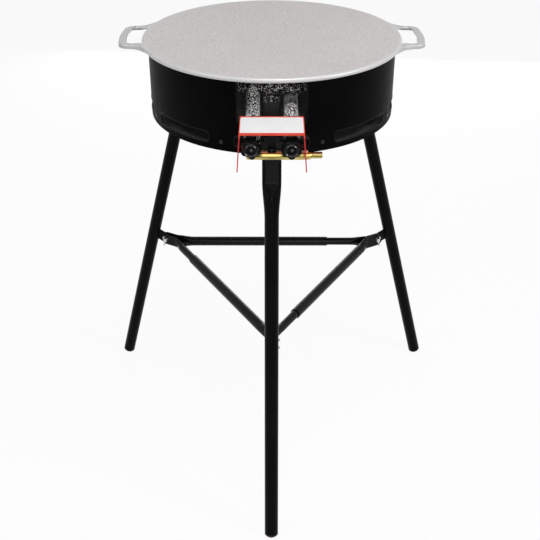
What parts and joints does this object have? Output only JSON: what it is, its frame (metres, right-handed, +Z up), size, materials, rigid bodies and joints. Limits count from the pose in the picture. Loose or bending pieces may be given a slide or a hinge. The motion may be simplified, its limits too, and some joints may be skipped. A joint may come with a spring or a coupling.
{
  "type": "griddle pan with gas burner",
  "caption": "Shallow cast griddle pan with loop handles on a ring gas burner in a slotted drum, with valves under a heat shield, on a splayed tripod of push-on legs tied by telescopic braces.",
  "frame": {"origin": "on the floor, on the vertical axis of the pan and drum", "axes": "+Z up, -Y towards the front with the knobs, +X to the right of a person facing the knobs"},
  "size_m": [0.7676, 0.6909, 0.9006],
  "materials": {
    "cast_pan": "blasted casting, fine grain",
    "drum_black": "satin powder coat",
    "leg_black": "satin powder coat on steel tube",
    "speckled_enamel": "dark enamel with white speckle",
    "tongue_black": "plain dark paint",
    "manifold_brass": "turned and drawn brass",
    "knob_black": "glossy moulded plastic",
    "shield_red": "glossy red paint on sheet",
    "plate_white": "plain white plate",
    "zinc": "bright zinc plating",
    "plug_black": "moulded plastic",
    "spindle_steel": "turned steel"
  },
  "bodies": {
    "burner": {"drum_shell": "drum_black", "drum_floor": "drum_black", "floor_clips": "drum_black", "drum_rivets": "drum_black", "outer_ring": "speckled_enamel", "inner_ring": "speckled_enamel", "outer_mixing_tube": "speckled_enamel", "inner_mixing_tube": "speckled_enamel", "gas_manifold": "manifold_brass", "manifold_plug": "manifold_brass", "hose_barb": "manifold_brass", "heat_shield": "shield_red", "shield_plate": "plate_white", "shield_bracket": "tongue_black", "bracket_screw": "zinc", "injector_left": "manifold_brass", "valve_body_left": "manifold_brass", "injector_right": "manifold_brass", "valve_body_right": "manifold_brass", "burner_arm_front": "speckled_enamel", "leg_tongue_front": "tongue_black", "burner_arm_right": "speckled_enamel", "leg_tongue_right": "tongue_black", "burner_arm_left": "speckled_enamel", "leg_tongue_left": "tongue_black"},
    "pan": {"griddle_pan": "cast_pan"},
    "left_knob": {"knob_left": "knob_black", "valve_spindle_left": "spindle_steel", "knob_screw_left": "zinc"},
    "right_knob": {"knob_right": "knob_black", "valve_spindle_right": "spindle_steel", "knob_screw_right": "zinc"},
    "front_leg": {"leg_tube_front": "leg_black", "foot_plug_front": "plug_black", "brace_tab_front": "leg_black", "brace_wide_front": "leg_black", "brace_slim_front": "leg_black", "brace_bolt_front": "zinc"},
    "front_wing_nut": {"wing_nut_front": "zinc"},
    "right_leg": {"leg_tube_right": "leg_black", "foot_plug_right": "plug_black", "brace_tab_right": "leg_black", "brace_wide_right": "leg_black", "brace_slim_right": "leg_black", "brace_bolt_right": "zinc"},
    "right_wing_nut": {"wing_nut_right": "zinc"},
    "left_leg": {"leg_tube_left": "leg_black", "foot_plug_left": "plug_black", "brace_tab_left": "leg_black", "brace_wide_left": "leg_black", "brace_slim_left": "leg_black", "brace_bolt_left": "zinc"},
    "left_wing_nut": {"wing_nut_left": "zinc"}
  },
  "joints": [
    {"name": "pan_lift", "type": "slide", "parent": "burner", "child": "pan", "axis": [0, 0, 1], "range_m": [0, 0.15]},
    {"name": "left_valve_turn", "type": "hinge", "parent": "burner", "child": "left_knob", "pos_m": [-0.034, -0.3385, 0.813], "axis": [0, -1, 0], "range_deg": [0, 270]},
    {"name": "right_valve_turn", "type": "hinge", "parent": "burner", "child": "right_knob", "pos_m": [0.034, -0.3385, 0.813], "axis": [0, -1, 0], "range_deg": [0, 270]},
    {"name": "front_leg_slide", "type": "slide", "parent": "burner", "child": "front_leg", "axis": [0, -0.2773, -0.9608], "range_m": [0, 0.05]},
    {"name": "right_leg_slide", "type": "slide", "parent": "burner", "child": "right_leg", "axis": [0.2402, 0.1387, -0.9608], "range_m": [0, 0.05]},
    {"name": "left_leg_slide", "type": "slide", "parent": "burner", "child": "left_leg", "axis": [-0.2402, 0.1387, -0.9608], "range_m": [0, 0.05]},
    {"name": "front_nut_turn", "type": "hinge", "parent": "front_leg", "child": "front_wing_nut", "pos_m": [0, -0.28184, 0.372], "axis": [1, 0, 0], "continuous": true},
    {"name": "right_nut_turn", "type": "hinge", "parent": "right_leg", "child": "right_wing_nut", "pos_m": [0.24408, 0.14092, 0.372], "axis": [0.5, -0.866, 0], "continuous": true},
    {"name": "left_nut_turn", "type": "hinge", "parent": "left_leg", "child": "left_wing_nut", "pos_m": [-0.24408, 0.14092, 0.372], "axis": [-0.5, -0.866, 0], "continuous": true}
  ],
  "couplings": [
    {"joint": "right_leg_slide", "follows": "front_leg_slide", "ratio": 1},
    {"joint": "left_leg_slide", "follows": "front_leg_slide", "ratio": 1}
  ]
}
